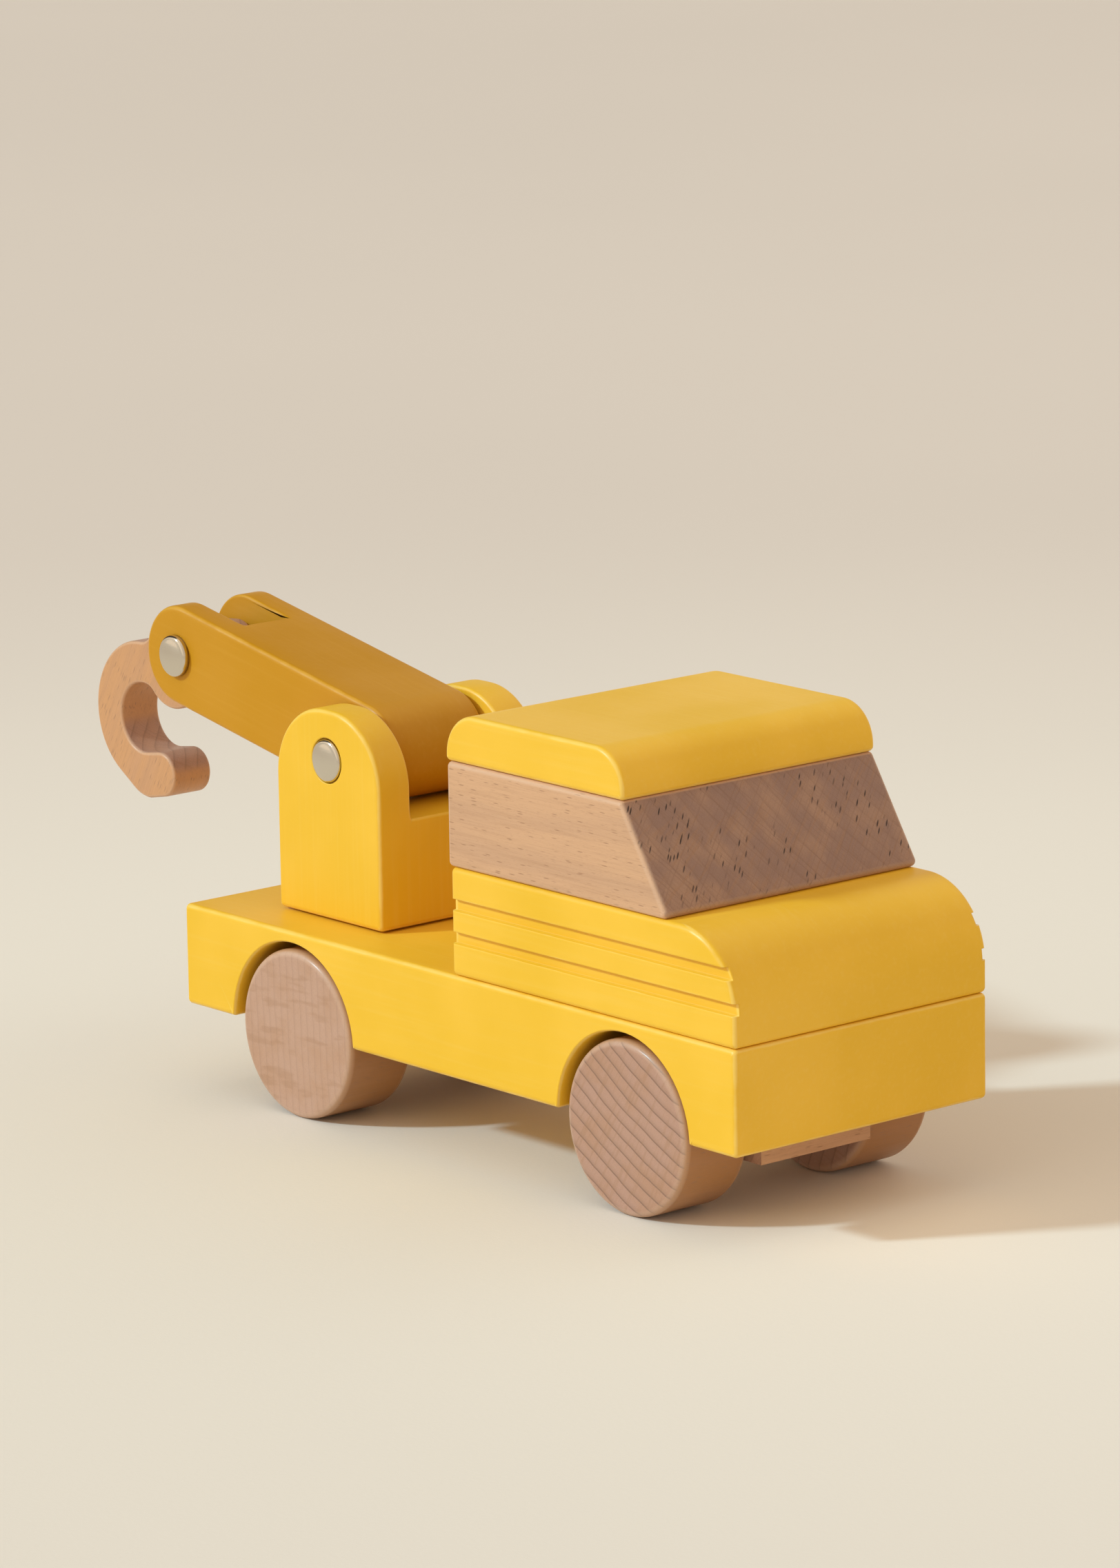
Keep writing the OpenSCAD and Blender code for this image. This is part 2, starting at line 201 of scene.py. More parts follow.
turns = np.linspace(0.0, 2.0 * np.pi, 97)[:-1]
floor_rings = np.array([r * np.stack([np.cos(turns), np.sin(turns), turns * 0 + z / r], -1)
                        for r, z in ((FLOOR_RADIUS, -0.01), (FLOOR_RADIUS, 0.0), (0.05, 0.0))])
floor_paint, tree, shader = new_material("studio_floor")
place_on_floor = add_node(tree, "TexCoord").outputs["Object"]
drift = add_node(tree, "TexNoise", {"Vector": place_on_floor, "Scale": 1.6, "Detail": 2.0}).outputs["Fac"]
tooth = add_node(tree, "TexNoise", {"Vector": place_on_floor, "Scale": 900.0, "Detail": 2.0}).outputs["Fac"]
# Painted falloff of light: the floor's colour darkens from the near colour to the far colour with distance from
# the middle.
from_middle = add_node(tree, "VectorMath", {0: place_on_floor}, operation="LENGTH").outputs["Value"]
floor_tone_with_falloff = blend_colour(tree, ramp(tree, from_middle, 0.1, 0.8), rgba(FLOOR_COLOUR), rgba(FLOOR_PAINTED_FALLOFF_COLOUR))
drifted = add_node(tree, "HueSaturation", {"Color": floor_tone_with_falloff, "Value": 0.97}).outputs[0]
floor_tone_with_falloff = blend_colour(tree, ramp(tree, drift, 0.3, 0.7), floor_tone_with_falloff, drifted)
floor_relief = add_node(tree, "Bump", {"Height": tooth, "Strength": 0.15, "Distance": 0.0002}).outputs[0]
tree.links.new(floor_tone_with_falloff, shader.inputs["Base Color"])
tree.links.new(floor_relief, shader.inputs["Normal"])
shader.inputs["Roughness"].default_value = 0.9
shader.inputs["Specular IOR Level"].default_value = 0.15
floor = ring_surface("studio_floor", floor_rings, floor_paint)

# ---------------------------------------------------------------------------------------------
# Chassis: one beech block, 23 mm thick, sawn to length, with two arches bored across it, every edge
# eased with a round cutter and the whole sprayed in satin yellow. The tower's pin turns in its bore.
EDGE = 1.2 * MM
ARCH_EDGE_SHARE = 0.45
ARCH_FOOT = 1.0 * MM
YELLOW = (0.87, 0.505, 0.034)
# Paler paint for the wood's ribs and for the middle of every eased edge: thin film there, and partly a painted
# highlight.
YELLOW_THIN_AND_SHEEN = (0.93, 0.66, 0.17)
PAINT_RIBS = (30.0, 900.0, 900.0)
ARC_STEP = np.radians(9.0)
LAND = 0.2 * MM


def belt(rollers, step=ARC_STEP, fill=None):
    """The outline of a belt that runs anticlockwise round rollers (x, z, r), with r below 0 where it bends
    the other way. Between two rollers the outward normal n solves n . (b - a) = ra - rb, and on a roller the
    point is its centre + r n while n turns evenly. Each flat run gets a point just inside both of its ends,
    so that shading stays flat, and points about fill apart between them. Returns points, outward normals,
    how near each point is to a small edge, how far it may move in along its normal before the outline would
    cross itself, and the mitre that it follows beyond that."""
    rollers = np.asarray(rollers, float)
    following = np.roll(rollers, -1, 0)
    gap = following[:, :2] - rollers[:, :2]
    reach = np.hypot(*gap.T)
    run = np.sqrt(np.maximum(reach ** 2 - (rollers[:, 2] - following[:, 2]) ** 2, 0.0))
    land = np.minimum(LAND, 0.3 * run)
    lean = np.arccos(np.clip((rollers[:, 2] - following[:, 2]) / reach, -1.0, 1.0))
    leave = np.arctan2(gap[:, 1], gap[:, 0]) - lean
    arrive = np.roll(leave, 1)
    points, normals, edge, room, mitre = [], [], [], [], []
    lands = np.roll(land, 1), land
    for (x, z, r), start, stop, before, after, length in zip(rollers, arrive, leave, *lands, run):
        swing = (stop - start) % (2.0 * np.pi) if r > 0 else -((start - stop) % (2.0 * np.pi))
        if abs(swing) > 6.2:
            swing = 0.0
        size = max(2, int(np.ceil(abs(swing) / step)) + 1)
        angle = start + np.linspace(0.0, swing, size)
        n = np.stack([np.cos(angle), np.sin(angle)], -1)
        along = np.stack([-n[:, 1], n[:, 0]], -1)
        p = np.array([x, z]) + r * n
        ahead = np.linspace(after, length - after, 2 + int(length // fill) if fill else 2)[:-1]
        points.append(np.concatenate([p[:1] - before * along[:1], p, p[-1:] + ahead[:, None] * along[-1:]]))
        normals.append(np.concatenate([n[:1], n, n[-1:] + 0 * ahead[:, None]]))
        soft = np.sin(np.linspace(0.0, np.pi, size)) * (0 < r < 2.5 * MM)
        edge.append(np.concatenate([[0.0], soft, 0 * ahead]))
        room.append(np.concatenate([[1.0], np.full(size, r if r > 0 else 1.0), 0 * ahead + 1.0]))
        corner = (n[0] + n[-1]) / max(1.0 + n[0] @ n[-1], 0.2)
        mitre.append(np.zeros((size + 1 + len(ahead), 2)) + corner)
    return tuple(np.concatenate(part) for part in (points, normals, edge, room, mitre))


def moved_in(outline, inset, base=None):
    """The outline's points, or base, moved in by inset: p - min(inset, room) n - max(inset - room, 0) m,
    with m the mitre."""
    points, normals, _, room, mitre = outline
    straight, beyond = np.minimum(inset, room), np.maximum(inset - room, 0.0)
    return (points if base is None else base) - straight[..., None] * normals - beyond[..., None] * mitre


RIM_ANGLES = np.radians(np.linspace(0.0, 90.0, 8))


def rim_profile(half, edge_radius):
    """(inset, y, edge) of a block's section from its right face to its left: a quarter round at each face."""
    inset = edge_radius * (1.0 - np.cos(RIM_ANGLES))
    out = half - edge_radius + edge_radius * np.sin(RIM_ANGLES)
    edge = np.sin(2.0 * RIM_ANGLES)
    inset = np.concatenate([inset, [edge_radius + 0.45 * LAND]])
    out = np.concatenate([[half - edge_radius - LAND], out, [half]])
    inset = np.concatenate([[0.0], inset])
    edge = np.concatenate([[0.0], edge, [0.0]])
    section = np.stack([inset, out, edge], -1)
    return np.concatenate([section[::-1] * (1, -1, 1), section])


def slab_rings(outline, profile, share=None):
    """An outline in XZ carried along Y: ring i is the outline moved in by inset i, at y i. share, 0 to 1 for
    each point, is how much of the inset the point takes."""
    sharp = outline[2]
    share = np.ones(len(sharp)) if share is None else share
    inset, y, edge = profile.T
    flat = moved_in(outline, inset[:, None] * share[None])
    rings = np.stack([flat[..., 0], np.broadcast_to(y[:, None], flat.shape[:2]), flat[..., 1]], -1)
    return rings[::-1], np.maximum(edge[::-1, None], sharp[None])


def make_paint_group():
    """Sprayed satin paint over beech: slow drift of tone, the wood's fine ribs felt through the film, orange
    peel, a few dust nibs, and edges where the film is thin and smoother; the paler band along each edge is
    partly thin paint and partly a painted highlight."""
    group = bpy.data.node_groups.new("satin_paint", "ShaderNodeTree")
    for name, kind in (("Vector", "NodeSocketVector"), ("Paint", "NodeSocketColor"),
                       ("Thin Paint And Sheen", "NodeSocketColor"), ("Edge", "NodeSocketFloat")):
        group.interface.new_socket(name, in_out="INPUT", socket_type=kind)
    for name, kind in (("Color", "NodeSocketColor"), ("Roughness", "NodeSocketFloat"),
                       ("Height", "NodeSocketFloat")):
        group.interface.new_socket(name, in_out="OUTPUT", socket_type=kind)
    given = add_node(group, "GroupInput").outputs
    where = given["Vector"]
    drift = add_node(group, "TexNoise", {"Vector": where, "Scale": 28.0, "Detail": 3.0}).outputs["Fac"]
    along = add_node(group, "VectorMath", {0: where, 1: PAINT_RIBS}, operation="MULTIPLY").outputs[0]
    ribs = add_node(group, "TexNoise", {"Vector": along, "Scale": 1.0, "Detail": 3.0}).outputs["Fac"]
    peel = add_node(group, "TexNoise", {"Vector": where, "Scale": 650.0, "Detail": 2.0}).outputs["Fac"]
    rub = add_node(group, "TexNoise", {"Vector": where, "Scale": 160.0, "Detail": 4.0}).outputs["Fac"]
    cells = add_node(group, "TexVoronoi", {"Vector": where, "Scale": 70.0})
    chosen = add_node(group, "SeparateColor", {0: cells.outputs["Color"]}).outputs
    nib_here = sums(group, "GREATER_THAN", chosen[0], 0.90)
    nib = sums(group, "MULTIPLY", ramp(group, cells.outputs["Distance"], 0.015, 0.032, 1.0, 0.0), nib_here)
    # The middle of eased edges is painted paler and smoother: partly thin, rubbed paint and partly a painted
    # highlight along each edge.
    rubbed = sums(group, "MULTIPLY_ADD", rub, 0.9, given["Edge"])
    wear_and_sheen = sums(group, "MULTIPLY", ramp(group, rubbed, 1.05, 1.5), 0.55)
    deep = add_node(group, "HueSaturation", {"Color": given["Paint"], "Value": 0.93,
                                             "Saturation": 1.02}).outputs[0]
    tone = blend_colour(group, ramp(group, drift, 0.3, 0.7), given["Paint"], deep)
    tone = blend_colour(group, ramp(group, ribs, 0.45, 0.8, 0.0, 0.10), tone, given["Thin Paint And Sheen"])
    tone = blend_colour(group, wear_and_sheen, tone, given["Thin Paint And Sheen"])
    nib_dark = add_node(group, "HueSaturation", {"Color": given["Paint"], "Value": 0.45}).outputs[0]
    tone = blend_colour(group, sums(group, "MULTIPLY", nib, 0.8), tone, nib_dark)
    rough = sums(group, "MULTIPLY_ADD", ramp(group, drift, 0.35, 0.75), 0.07, 0.40)
    rough = sums(group, "MULTIPLY_ADD", peel, 0.05, rough)
    rough = sums(group, "SUBTRACT", rough, sums(group, "MULTIPLY", wear_and_sheen, 0.12))
    relief = sums(group, "MULTIPLY_ADD", peel, 0.55, sums(group, "MULTIPLY", ribs, 0.45))
    relief = sums(group, "ADD", relief, sums(group, "MULTIPLY", nib, 0.8))
    out = add_node(group, "GroupOutput", {"Color": tone, "Roughness": rough, "Height": relief})
    out.is_active_output = True
    return group


paint_group = make_paint_group()


def painted(name, paint, thin, turn_grain=(0.0, 0.0, 0.0), shine=0.38):
    """Satin paint of one colour; turn_grain turns the wood's ribs, which run along X, under it."""
    material, tree, shader = new_material(name)
    where = add_node(tree, "TexCoord").outputs["Object"]
    where = add_node(tree, "Mapping", {"Vector": where, "Rotation": turn_grain}).outputs[0]
    edge = add_node(tree, "Attribute", attribute_name="edge").outputs["Fac"]
    skin = add_node(tree, "Group", node_tree=paint_group)
    tree.links.new(where, skin.inputs["Vector"])
    tree.links.new(edge, skin.inputs["Edge"])
    skin.inputs["Paint"].default_value = rgba(paint)
    # thin: the paler colour for the ribs and the middle of eased edges, partly thin paint and partly a painted
    # highlight.
    skin.inputs["Thin Paint And Sheen"].default_value = rgba(thin)
    bump = add_node(tree, "Bump", {"Height": skin.outputs["Height"], "Strength": 0.35, "Distance": 0.00012})
    tree.links.new(skin.outputs["Color"], shader.inputs["Base Color"])
    tree.links.new(skin.outputs["Roughness"], shader.inputs["Roughness"])
    tree.links.new(bump.outputs[0], shader.inputs["Normal"])
    shader.inputs["Specular IOR Level"].default_value = shine
    return material


yellow_paint = painted("yellow_paint", YELLOW, YELLOW_THIN_AND_SHEEN)
low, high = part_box("chassis")
axle_x = {end: (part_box(end + "_axle")[0][0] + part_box(end + "_axle")[1][0]) / 2 for end in ("front", "rear")}
axle_z = (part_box("front_axle")[0][2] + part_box("front_axle")[1][2]) / 2
arch_r = (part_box("front_axle_block")[1][0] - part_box("front_axle_block")[0][0]) / 2
foot_z = low[2] + ARCH_FOOT
foot_x = np.sqrt((arch_r + ARCH_FOOT) ** 2 - (foot_z - axle_z) ** 2)
chassis_rollers = [(low[0] + EDGE, low[2] + EDGE, EDGE)]
for end in ("rear", "front"):
    chassis_rollers += [(axle_x[end] - foot_x, foot_z, ARCH_FOOT), (axle_x[end], axle_z, -arch_r),
                        (axle_x[end] + foot_x, foot_z, ARCH_FOOT)]
chassis_rollers += [(high[0] - EDGE, low[2] + EDGE, EDGE), (high[0] - EDGE, high[2] - EDGE, EDGE),
                    (low[0] + EDGE, high[2] - EDGE, EDGE)]
chassis_outline = belt(chassis_rollers, np.radians(6.0))
to_axle = np.min([np.hypot(chassis_outline[0][:, 0] - x, chassis_outline[0][:, 1] - axle_z)
                  for x in axle_x.values()], 0)
arch_share = np.where(to_axle < arch_r + 0.5 * ARCH_FOOT, ARCH_EDGE_SHARE, 1.0)
chassis_rings, chassis_edge = slab_rings(chassis_outline, rim_profile(high[1], EDGE), arch_share)
chassis = ring_surface("chassis_block", chassis_rings, yellow_paint, chassis_edge)
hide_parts("chassis")
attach(chassis, "truck")

# ---------------------------------------------------------------------------------------------
# Hood: a second painted block glued and dowelled on the deck. Its front top edge is turned to a wide
# round, and a cutter has run two shallow grooves along each side that the paint has softened.
HOOD_ROUND = 17.0 * MM
GROOVE_DEPTH = 1.4 * MM
GROOVE_HEIGHT = 2.6 * MM
GROOVE_FOOT = (7.0 * MM, 14.2 * MM)
GROOVE_LIP = 0.28 * MM

low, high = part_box("hood_block")


def quarter_inset(z, bottom, top, radius):
    """How far a rounded edge stands in from the face at height z, for an edge of that radius at both ends."""
    over = np.maximum(0.0, np.maximum(bottom + radius - z, z - top + radius))
    return radius - np.sqrt(np.maximum(radius ** 2 - over ** 2, 0.0))


def hood_front(z, inset):
    """x of the front at height z, with the outline moved in by inset: a large round above, a small below."""
    big, small = HOOD_ROUND - inset, EDGE - inset
    above = np.clip(z - (high[2] - HOOD_ROUND), 0.0, big)
    below = np.clip(low[2] + EDGE - z, 0.0, small)
    return np.where(above > 0, high[0] - HOOD_ROUND + np.sqrt(big ** 2 - above ** 2),
                    high[0] - EDGE + np.sqrt(np.maximum(small ** 2 - below ** 2, 0.0)))


def hood_rear(z, inset):
    """x of the rear at height z for the outline moved in by inset: a small round above and below."""
    small = EDGE - inset
    over = np.clip(np.maximum(low[2] + EDGE - z, z - high[2] + EDGE), 0.0, small)
    return low[0] + EDGE - np.sqrt(np.maximum(small ** 2 - over ** 2, 0.0))


lip_steps = np.array([-2.0, -1.0, -0.35, 0.0, 0.08, 1.0]) * GROOVE_LIP
small_turn = np.sin(np.radians(np.linspace(0.0, 90.0, 9)))
big_turn = np.sin(np.radians(np.linspace(0.0, 90.0, 26)))
groove_levels = np.concatenate([low[2] + foot + np.concatenate([lip_steps, GROOVE_HEIGHT - lip_steps[::-1]])
                                for foot in GROOVE_FOOT])
levels = np.unique(np.round(np.concatenate([
    low[2] + EDGE * (1 - small_turn), high[2] - EDGE * (1 - small_turn),
    high[2] - HOOD_ROUND * (1 - big_turn), groove_levels, [low[2] + EDGE + LAND]]), 7))
levels = levels[np.concatenate([[True], np.diff(levels) > 2e-5])]
depth = np.zeros(len(levels))
for foot in GROOVE_FOOT:
    inside = np.minimum(levels - low[2] - foot, low[2] + foot + GROOVE_HEIGHT - levels)
    wall = np.clip(inside / (0.08 * GROOVE_LIP), 0.0, 1.0) * (GROOVE_DEPTH - 0.45 * GROOVE_LIP)
    lip = np.clip(1.0 + inside / GROOVE_LIP, 0.0, 1.0) ** 2 * 0.45 * GROOVE_LIP
    depth = np.maximum(depth, wall + np.where(inside > -GROOVE_LIP, lip, 0.0))
sweep = np.linspace(0.0, 1.0, 8)
z = levels[:, None]
most_inset = np.minimum(EDGE, np.minimum(high[2] - z, z - low[2]))
angle = np.arccos(np.clip(1.0 - most_inset / EDGE, -1.0, 1.0)) * sweep[None]
inset = EDGE * (1.0 - np.cos(angle))
half_y = high[1] - EDGE + EDGE * np.sin(angle)
front_x, rear_x = hood_front(z, inset), hood_rear(z, inset)
flat_y = np.broadcast_to(high[1] - GROOVE_DEPTH - 2 * LAND, z.shape)
width_limit = high[1] - depth[:, None]
front_left = np.stack([front_x, np.minimum(half_y, width_limit)], -1)
rear_left = np.stack([rear_x, np.minimum(half_y, width_limit)], -1)
side_share = np.array([0.03, 0.06, 0.3, 0.6, 0.85, 0.95, 0.985])
side_y = np.minimum(half_y[:, -1:], width_limit)
side_x = front_x[:, -1:] + (rear_x[:, -1:] - front_x[:, -1:]) * side_share[None]
side_left = np.stack([side_x, np.broadcast_to(side_y, side_x.shape)], -1)
front_land = np.stack([front_x[:, :1], flat_y], -1)
rear_land = np.stack([rear_x[:, :1], flat_y], -1)
left_half = np.concatenate([front_land, front_left, side_left, rear_left[:, ::-1], rear_land], 1)
right_half = left_half[:, ::-1] * (1.0, -1.0)
plan = np.concatenate([left_half, right_half], 1)
hood_rings = np.concatenate([plan, np.broadcast_to(levels[:, None, None], (*plan.shape[:2], 1))], -1)
corner = np.sin(np.pi * sweep)[None] * np.ones_like(z)
zeros = np.zeros((len(levels), 1))
edge_left = np.concatenate([zeros, corner, np.zeros_like(side_x), corner[:, ::-1], zeros], 1)
rim_inset = quarter_inset(levels, low[2], high[2], EDGE)
over_rim = np.sin(2.0 * np.arccos(np.clip(1.0 - rim_inset / EDGE, 0.0, 1.0)))
hood_edge = np.maximum(np.concatenate([edge_left, edge_left[:, ::-1]], 1), 0.6 * over_rim[:, None])
lip_rows = ((depth > 0) & (depth < 0.6 * GROOVE_DEPTH))[:, None] * 0.7
trimmed = (half_y > width_limit) * 1.0
on_side = np.concatenate([zeros, trimmed, np.ones_like(side_x), trimmed[:, ::-1], zeros], 1)
hood_edge = np.maximum(hood_edge, lip_rows * np.concatenate([on_side, on_side[:, ::-1]], 1))
hood = ring_surface("hood_block_grooved", hood_rings, yellow_paint, hood_edge)
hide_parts("hood_block")
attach(hood, "truck")

# ---------------------------------------------------------------------------------------------
# Window block: bare beech under a thin clear oil, the grain along the truck. The sloping windscreen is
# sawn across the grain, so it is darker, shows crossed saw marks, open pores and short checks.
WINDOW_LEAN = 14.5 * MM
BEECH = (0.63, 0.36, 0.20)
BEECH_FLECK = (0.36, 0.185, 0.095)
BEECH_END = (0.46, 0.262, 0.187)
WINDSCREEN_END = (0.30, 0.178, 0.138)
BEECH_RING = (0.235, 0.125, 0.082)
BEECH_SANDED = (0.78, 0.55, 0.39)
CHECK_DARK = (0.05, 0.025, 0.018)
CHECK_SLANT = 0.62
CHECK_CELL = (0.4, 1.5, 0.30)


def make_beech_group():
    """Beech in millimetres with the grain along X. Long grain: slow bands, fine fibres and short dark flecks.
    End grain: rings at even spacing round a far centre, fine rays across them, pores and faint saw marks.
    End is 1 where the surface cuts across the grain."""
    group = bpy.data.node_groups.new("beech_grain", "ShaderNodeTree")
    for name, kind in (("Vector", "NodeSocketVector"), ("End", "NodeSocketFloat"),
                       ("Wood", "NodeSocketColor"), ("Fleck", "NodeSocketColor"),
                       ("End Wood", "NodeSocketColor"),
                       ("Ring", "NodeSocketColor"), ("Ring Centre", "NodeSocketVector"),
                       ("Ring Spacing", "NodeSocketFloat"), ("Ring Strength", "NodeSocketFloat"),
                       ("Saw Marks", "NodeSocketFloat"), ("Checks", "NodeSocketFloat"),
                       ("Edge", "NodeSocketFloat")):
        group.interface.new_socket(name, in_out="INPUT", socket_type=kind)
    for name, kind in (("Color", "NodeSocketColor"), ("Roughness", "NodeSocketFloat"),
                       ("Height", "NodeSocketFloat")):
        group.interface.new_socket(name, in_out="OUTPUT", socket_type=kind)
    given = add_node(group, "GroupInput").outputs
    where = given["Vector"]

    def scaled(factors):
        return add_node(group, "VectorMath", {0: where, 1: factors}, operation="MULTIPLY").outputs[0]

    def noise(vector, scale=1.0, detail=2.0, bend=0.0):
        return add_node(group, "TexNoise", {"Vector": vector, "Scale": scale, "Detail": detail,
                                            "Distortion": bend}).outputs["Fac"]

    bands = noise(scaled((0.012, 0.16, 0.16)), 1.0, 3.0, 0.4)
    fibres = noise(scaled((0.10, 3.6, 3.6)), 1.0, 3.0)
    figure = noise(scaled((0.05, 0.9, 0.9)), 1.0, 2.0)
    fleck_cells = add_node(group, "TexVoronoi", {"Vector": scaled((0.26, 2.0, 2.0)), "Scale": 1.0,
                                                 "Randomness": 1.0})
    fleck_pick = add_node(group, "SeparateColor", {0: fleck_cells.outputs["Color"]}).outputs
    fleck = ramp(group, fleck_cells.outputs["Distance"], 0.12, 0.32, 1.0, 0.0)
    fleck = sums(group, "MULTIPLY", fleck, ramp(group, fleck_pick[0], 0.25, 0.85, 0.0, 0.85))
    fine_cells = add_node(group, "TexVoronoi", {"Vector": scaled((0.55, 4.4, 4.4)), "Scale": 1.0})
    fine = ramp(group, fine_cells.outputs["Distance"], 0.08, 0.30, 0.30, 0.0)
    long_tone = blend_colour(group, ramp(group, bands, 0.35, 0.68, 0.0, 0.20), given["Wood"],
                             given["End Wood"])
    long_tone = blend_colour(group, ramp(group, figure, 0.5, 0.75, 0.0, 0.16), long_tone, given["Fleck"])
    long_tone = blend_colour(group, ramp(group, fibres, 0.40, 0.75, 0.0, 0.20), long_tone, given["Fleck"])
    long_tone = blend_colour(group, fine, long_tone, given["Fleck"])
    long_tone = blend_colour(group, fleck, long_tone, given["Fleck"])

    offset = add_node(group, "VectorMath", {0: where, 1: given["Ring Centre"]},
                      operation="SUBTRACT").outputs[0]
    split = add_node(group, "SeparateXYZ", {0: offset}).outputs
    across = add_node(group, "CombineXYZ", {"Y": split["Y"], "Z": split["Z"]}).outputs[0]
    radius = add_node(group, "VectorMath", {0: across}, operation="LENGTH").outputs["Value"]
    wobble = noise(across, 0.09, 2.0)
    wavy = sums(group, "MULTIPLY_ADD", wobble, 1.3, radius)
    ring_place = sums(group, "DIVIDE", wavy, given["Ring Spacing"])
    phase = sums(group, "FRACT", ring_place)
    late = sums(group, "MULTIPLY", ramp(group, phase, 0.42, 0.93), ramp(group, phase, 0.95, 1.0, 1.0, 0.0))
    line = sums(group, "MULTIPLY", ramp(group, phase, 0.80, 0.92), ramp(group, phase, 0.95, 1.0, 1.0, 0.0))
    ring = sums(group, "MULTIPLY_ADD", line, 0.6, sums(group, "MULTIPLY", late, 0.32))
    ring = sums(group, "MULTIPLY", ring, given["Ring Strength"])
    unit = add_node(group, "VectorMath", {0: across}, operation="NORMALIZE").outputs[0]
    ray_space = add_node(group, "VectorMath", {0: unit, 1: (420.0,) * 3}, operation="MULTIPLY").outputs[0]
    ray_length = add_node(group, "CombineXYZ", {"X": sums(group, "MULTIPLY", radius, 0.22)}).outputs[0]
    ray_place = add_node(group, "VectorMath", {0: ray_space, 1: ray_length}, operation="ADD").outputs[0]
    ray = ramp(group, noise(ray_place, 0.45, 2.0), 0.52, 0.66, 0.0, 0.34)
    pores = noise(scaled((0.8, 7.5, 7.5)), 1.0, 2.0)
    cloud = noise(scaled((0.1, 0.13, 0.13)), 1.0, 3.0)
    marks = []
    for slant in (0.9, -1.05):
        lane = sums(group, "ADD", sums(group, "MULTIPLY", split["Y"], slant), split["Z"])
        lane = sums(group, "MULTIPLY_ADD", noise(where, 0.4, 1.0), 0.5, lane)
        stripe = add_node(group, "CombineXYZ", {"X": sums(group, "MULTIPLY", lane, 1.55)}).outputs[0]
        marks.append(ramp(group, noise(stripe, 1.0, 2.0), 0.50, 0.68, 0.0, 1.0))
    saw = sums(group, "MULTIPLY", sums(group, "MAXIMUM", marks[0], marks[1]), given["Saw Marks"])
    slanted = add_node(group, "VectorRotate", {"Vector": across, "Angle": CHECK_SLANT},
                       rotation_type="X_AXIS").outputs[0]
    slanted = add_node(group, "VectorMath", {0: slanted, 1: CHECK_CELL}, operation="MULTIPLY").outputs[0]
    check_cells = add_node(group, "TexVoronoi", {"Vector": slanted, "Scale": 1.0})
    check_pick = add_node(group, "SeparateColor", {0: check_cells.outputs["Color"]}).outputs
    patch = ramp(group, noise(across, 0.055, 1.0), 0.40, 0.56)
    check = ramp(group, check_cells.outputs["Distance"], 0.16, 0.34, 1.0, 0.0)
    check = sums(group, "MULTIPLY", check, ramp(group, check_pick[1], 0.45, 0.75))
    check = sums(group, "MULTIPLY", sums(group, "MULTIPLY", check, patch), given["Checks"])
    end_tone = blend_colour(group, ramp(group, cloud, 0.35, 0.7, 0.0, 0.28), given["End Wood"], given["Wood"])
    end_tone = blend_colour(group, ring, end_tone, given["Ring"])
    end_tone = blend_colour(group, ray, end_tone, given["Fleck"])
    end_tone = blend_colour(group, ramp(group, pores, 0.50, 0.70, 0.0, 0.42), end_tone, given["Ring"])
    end_tone = blend_colour(group, sums(group, "MULTIPLY", saw, 0.42), end_tone, given["Ring"])
    end_tone = blend_colour(group, check, end_tone, rgba(CHECK_DARK))
    tone = blend_colour(group, given["End"], long_tone, end_tone)
    tone = blend_colour(group, sums(group, "MULTIPLY", given["Edge"], 0.30), tone, rgba(BEECH_SANDED))
    rough_long = sums(group, "MULTIPLY_ADD", fibres, 0.16, 0.40)
    rough_end = sums(group, "MULTIPLY_ADD", pores, 0.20, 0.46)
    rough = add_node(group, "Mix", {0: given["End"], 2: rough_long, 3: rough_end},
                     data_type="FLOAT").outputs[0]
    high_long = sums(group, "SUBTRACT", sums(group, "MULTIPLY", fibres, -0.6),
                     sums(group, "MULTIPLY", fleck, 0.6))
    high_end = sums(group, "ADD", sums(group, "MULTIPLY", pores, 0.7), sums(group, "MULTIPLY", saw, 0.5))
    cut_in = sums(group, "MULTIPLY_ADD", check, 1.2, sums(group, "MULTIPLY", ring, 0.5))
    high_end = sums(group, "MULTIPLY", sums(group, "ADD", high_end, cut_in), -1.0)
    relief = add_node(group, "Mix", {0: given["End"], 2: high_long, 3: high_end},
                      data_type="FLOAT").outputs[0]
    out = add_node(group, "GroupOutput", {"Color": tone, "Roughness": rough, "Height": relief})
    out.is_active_output = True
    return group


beech_group = make_beech_group()


